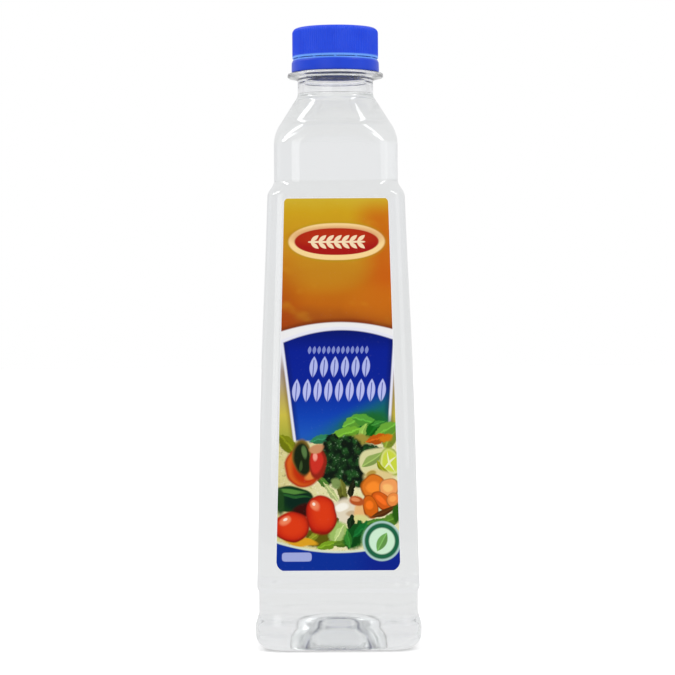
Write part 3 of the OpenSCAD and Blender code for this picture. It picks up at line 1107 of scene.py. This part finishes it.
def paint_carrots(art):
    """A lime slice on cream, and cut carrots, at the right."""
    art.oval((13.4, 63.4), (6.2, 5.0), ink(220, 216, 160), 0, 0.08)
    art.leaf((11.6, 64.4), (4.2, 1.7), ink(146, 172, 88), 34)
    art.oval((17.8, 63.4), (3.6, 4.8), ink(150, 170, 30), 24, 0.1)
    art.oval((17.8, 63.5), (3.1, 4.2), ink(226, 230, 150), 24, 0.12)
    art.oval((17.9, 63.8), (2.6, 3.6), ink(204, 216, 66), 24, 0.2)
    art.leaf((17.8, 63.6), (3.6, 0.3), ink(238, 240, 190), 110, rib=0)
    art.leaf((17.8, 63.6), (2.8, 0.3), ink(238, 240, 190), 40, rib=0)
    art.leaf((15.2, 61.4), (3.6, 0.9), ink(150, 156, 16), -52)
    art.oval((13.6, 58.6), (4.6, 2.4), ink(226, 204, 140), 0, 0.25)
    art.oval((11.4, 59.4), (1.8, 1.0), ink(180, 150, 66), 20, 0.3)
    art.oval((2.8, 47.0), (5.6, 4.0), ink(228, 216, 190), 0, 0.2)
    art.oval((1.4, 48.6), (1.9, 1.2), ink(250, 246, 232), 14, 0.3)
    art.oval((4.4, 46.0), (1.7, 1.1), ink(200, 176, 140), -10, 0.3)
    art.oval((7.4, 46.6), (2.2, 3.6), ink(234, 184, 122), 0, 0.25)
    carrot(art, (12.0, 54.6), (4.4, 4.6), 10, ink(222, 116, 28))
    carrot(art, (17.2, 54.4), (3.5, 3.4), -14, ink(244, 160, 92))
    carrot(art, (14.8, 50.6), (4.2, 2.6), -38, ink(214, 92, 18))
    carrot(art, (18.8, 50.8), (2.4, 2.4), 0, ink(236, 138, 66))
    carrot(art, (10.8, 48.4), (2.7, 4.2), 16, ink(212, 98, 12))
    art.oval((6.2, 50.2), (2.4, 1.5), ink(184, 84, 34), -10, 0.2)
    art.oval((5.8, 50.6), (1.3, 0.6), ink(226, 140, 90), -10, 0.3)
    art.oval((7.4, 43.8), (3.0, 2.0), ink(216, 214, 140), 0, 0.3)
    art.leaf((15.8, 47.0), (5.2, 1.1), ink(92, 48, 6), 26)


def carrot(art, at, size, turn, colour):
    """A cut piece with a dark edge, a paler face and a light along it."""
    art.oval(at, size, tone(colour, 0.5), turn, 0.07)
    art.oval((at[0], at[1] + 0.2), (size[0] * 0.88, size[1] * 0.86), colour, turn, 0.1)
    art.oval((at[0] - 0.3, at[1] + 0.5), (size[0] * 0.5, size[1] * 0.34), tone(colour, 1.5), turn, 0.35)


def paint_cucumber(art):
    """Dark skin with a paler line along it, and the shadow under it."""
    art.oval((-15.6, 51.2), (7.6, 4.4), ink(14, 58, 20), -4, 0.08)
    art.oval((-13.4, 50.6), (4.6, 3.0), ink(2, 36, 24), 0, 0.4)
    art.oval((-16.4, 53.8), (4.6, 0.7), ink(84, 136, 58), -5, 0.4)
    art.oval((-15.2, 52.2), (5.2, 0.4), ink(36, 92, 40), -5, 0.4)
    art.oval((-19.6, 50.6), (1.4, 4.2), ink(30, 70, 26), 0, 0.3)
    art.oval((-10.8, 47.2), (4.6, 2.4), ink(56, 6, 2), 0, 0.25)


def paint_front_leaves(art):
    """Leaves along the front of the salad, lightest in the middle."""
    art.leaf((17.6, 44.2), (5.2, 2.0), ink(90, 138, 40), 22)
    art.oval((20.0, 46.4), (1.8, 3.2), ink(38, 92, 12), 0, 0.25)
    art.oval((-6.6, 38.6), (4.6, 3.6), ink(92, 88, 6), 10, 0.2)
    art.leaf((-8.4, 38.4), (3.6, 1.1), ink(140, 150, 36), 40)
    art.leaf((-1.6, 41.6), (3.8, 1.8), ink(78, 74, 6), 70)
    art.oval((0.2, 39.8), (3.4, 3.8), ink(156, 190, 98), 20, 0.2)
    art.leaf((0.4, 39.8), (3.2, 1.3), ink(186, 212, 130), 60)
    art.leaf((-3.4, 35.8), (4.0, 1.4), ink(120, 160, 32), 14)
    art.leaf((1.2, 36.2), (3.4, 1.2), ink(88, 124, 34), 8)
    art.oval((5.0, 37.6), (3.2, 3.0), ink(24, 98, 16), 0, 0.3)
    art.leaf((5.6, 39.4), (5.4, 3.0), ink(8, 78, 22), 64)
    art.leaf((3.4, 38.0), (3.4, 1.1), ink(52, 132, 44), 98)
    art.leaf((8.6, 41.4), (4.4, 1.7), ink(14, 106, 42), 38)
    art.oval((10.0, 37.6), (2.0, 3.6), ink(104, 164, 100), 0, 0.3)
    art.leaf((4.2, 43.6), (2.6, 1.2), ink(18, 42, 14), 80)
    art.leaf((12.6, 43.4), (3.4, 1.2), ink(70, 130, 40), 10)


def tomato(art, at, size, turn):
    """A whole tomato: a dark rim, a lit body and two lights on its skin."""
    wide, tall = size
    for across, up, share_wide, share_tall, colour, lean, soft in (
        (0, 0, 1, 1, ink(132, 18, 4), turn, 0.06),
        (-0.2, 0.3, 0.9, 0.9, ink(196, 34, 10), turn, 0.16),
        (0.3, 0.4, 0.62, 0.6, ink(222, 58, 16), turn, 0.6),
        (-0.36 * wide, 0.42 * tall, 0.26, 0.24, ink(242, 134, 92), 30, 0.5),
        (-0.4 * wide, 0.48 * tall, 0.1, 0.09, ink(255, 232, 214), 30, 0.4),
    ):
        half_sizes = (wide * share_wide, tall * share_tall)
        art.oval((at[0] + across, at[1] + up), half_sizes, colour, lean, soft)


# -------- plain finishes

BACK_GLOW = 0.4


def white_film(name, glow=0.0):
    """The bare film. Its back glows a little for the light that comes to it through the bottle."""
    s = Shader(name)
    grain = s.noise(s.place(), 0.7, 2.0)
    colour = s.mix(ink(236, 238, 242), ink(246, 247, 250), grain)
    return s.surface({
        "Base Color": colour,
        "Roughness": 0.32 + grain * 0.08,
        "Emission Color": ink(255, 255, 255),
        "Emission Strength": glow,
        "Normal": s.bump(grain, 0.02 * MM, 0.3),
    })


def clear_pet():
    s = Shader("clear_pet")
    place = s.place()
    # Blown walls ripple slightly, in long shallow waves and a fine orange peel
    long_wave = s.noise(s.scale(place, 0.5), 7.0, 1.0)
    peel = s.noise(place, 1.6, 2.0)
    height = long_wave + peel * 0.05
    return s.surface({
        "Base Color": (0.975, 0.98, 0.981, 1),
        "Roughness": 0.05,
        "IOR": 1.575,
        "Transmission Weight": 1.0,
        "Normal": s.bump(height, 0.25 * MM, 0.5),
    })


def vinegar_liquid():
    s = Shader("white_vinegar")
    ripple = s.noise(s.place(), 6.0, 1.0)
    return s.surface({
        "Base Color": (0.985, 0.988, 0.986, 1),
        "Roughness": 0.0,
        "IOR": 1.34,
        "Transmission Weight": 1.0,
        "Normal": s.bump(ripple, 0.02 * MM, 0.3),
    })


def cap_plastic(name, colour, dark):
    """Moulded plastic, with a painted highlight in pale blue beside the slit, where the bevels catch
    the light.
    """
    s = Shader(name)
    place = s.place()
    from_slit = abs(s.parts(place)[2] - CAP_LOW.z / MM)
    flow = s.noise(place, 5.0, 3.0)
    grain = s.noise(place, 0.25, 2.0)
    base = s.mix(colour, dark, flow.step(0.35, 0.75) * 0.5)
    return s.surface({
        # Painted highlight: the colour turns pale blue within a millimetre of the slit
        "Base Color": s.mix(base, ink(112, 172, 255), from_slit.step(1.0, 0.4) * 0.9),
        "Roughness": 0.3 + flow * 0.12,
        "Specular IOR Level": 0.3,
        "Normal": s.bump(grain, 0.01 * MM, 0.4),
        "IOR": 1.49,
    })


# -------- studio

WHITE = (1, 1, 1, 1)
# The height that the lights are aimed at
MIDDLE_Z = 110 * MM


def grey(level):
    return (level, level, level, 1)


def surround():
    """White from the camera, and for the bottle a little greyer towards its sides."""
    world = bpy.data.worlds.new("studio_surround")
    bpy.context.scene.world = world
    s = Shader("studio_surround", world)
    x, _, z = s.parts(s.value("ShaderNodeTexCoord", output="Generated"))
    level = s.ramp(
        z * 0.5 + 0.5,
        (0.0, (0.98, 0.98, 0.985, 1)),
        (0.5, (0.99, 0.99, 1.0, 1)),
        (1.0, (1.02, 1.02, 1.03, 1)),
    )
    sides = abs(x).step(0.3, 0.85) * abs(z).step(0.7, 0.3)
    level = s.mix(level, (0.84, 0.845, 0.86, 1), sides)
    soft = s.value("ShaderNodeBackground", {}, {"Color": level, "Strength": 0.86})
    plain = s.value("ShaderNodeBackground", {}, {"Color": WHITE, "Strength": 1.0})
    s.put_out(s.from_camera(soft, plain), "World")


def pale_floor():
    """A wide floor that glows a little, like a light table, and shows white from the camera."""
    s = Shader("pale_floor")
    grain = s.noise(s.place(), 30.0, 2.0)
    seen = s.finish({
        "Base Color": s.mix(grey(0.86), grey(0.88), grain),
        "Roughness": 0.8,
        "Emission Color": WHITE,
        "Emission Strength": 0.42,
    })
    lit = s.finish({
        "Base Color": grey(0),
        "Roughness": 1.0,
        "Specular IOR Level": 0.0,
        "Emission Color": WHITE,
        "Emission Strength": 0.83,
    })
    material = s.put_out(s.from_camera(lit, seen))
    half = 9.0
    corners = [(-half, -half, 0), (half, -half, 0), (half, half, 0), (-half, half, 0)]
    mesh = bpy.data.meshes.new("floor")
    mesh.from_pydata(corners, [], [(0, 1, 2, 3)])
    mesh.materials.append(material)
    floor = bpy.data.objects.new("floor", mesh)
    floor.location.z = -0.2 * MM
    bpy.context.scene.collection.objects.link(floor)


def softbox(name, bearing, height, away, width, tall, glow):
    """A rectangular light that the camera doesn't see, aimed at the middle of the bottle.

    Its bearing is in degrees round the bottle from the front, and its measures are in metres.
    """
    light = bpy.data.lights.new(name, "AREA")
    light.shape = "RECTANGLE"
    light.size = width
    light.size_y = tall
    light.energy = glow * math.pi * width * tall
    box = bpy.data.objects.new(name, light)
    turn = math.radians(bearing)
    box.location = (away * math.sin(turn), -away * math.cos(turn), height)
    box.rotation_euler = (math.atan2(away, height - MIDDLE_Z), 0, turn)
    box.visible_camera = False
    bpy.context.scene.collection.objects.link(box)


def camera():
    scene = bpy.context.scene
    lens = bpy.data.cameras.new("camera")
    lens.lens = 154.6
    lens.sensor_width = 36
    lens.clip_start = 0.05
    lens.clip_end = 50
    eye = bpy.data.objects.new("camera", lens)
    eye.location = (0.2 * MM, -1.0, 105.5 * MM)
    eye.rotation_euler = (math.radians(90), math.radians(0.35), 0)
    scene.collection.objects.link(eye)
    scene.camera = eye


def studio():
    scene = bpy.context.scene
    scene.view_settings.view_transform = "Standard"
    # Light passes many walls of clear plastic before it comes out again
    scene.cycles.max_bounces = 40
    scene.cycles.transmission_bounces = 40
    scene.cycles.glossy_bounces = 12
    surround()
    pale_floor()
    softbox("key", -27, 0.5, 1.15, 0.7, 0.9, 0.7)
    softbox("fill", 62, 0.5, 1.15, 0.7, 0.9, 0.45)
    softbox("rim", -112, 0.5, 1.15, 0.6, 0.9, 0.2)
    softbox("high_right", 70, 1.5, 1.0, 0.3, 0.9, 5.0)
    softbox("high_left", -98, 1.3, 1.0, 0.3, 0.9, 5.0)
    camera()


make_bottle(clear_pet())
make_vinegar(vinegar_liquid())
make_cap(cap_plastic("blue_cap", ink(20, 72, 228), ink(12, 60, 216)))
make_band(cap_plastic("blue_band", ink(16, 66, 214), ink(10, 56, 200)))
prints = [paint_label(zone) for zone in ZONES]
make_label(white_film("label_white"), prints, white_film("label_back", BACK_GLOW))
studio()
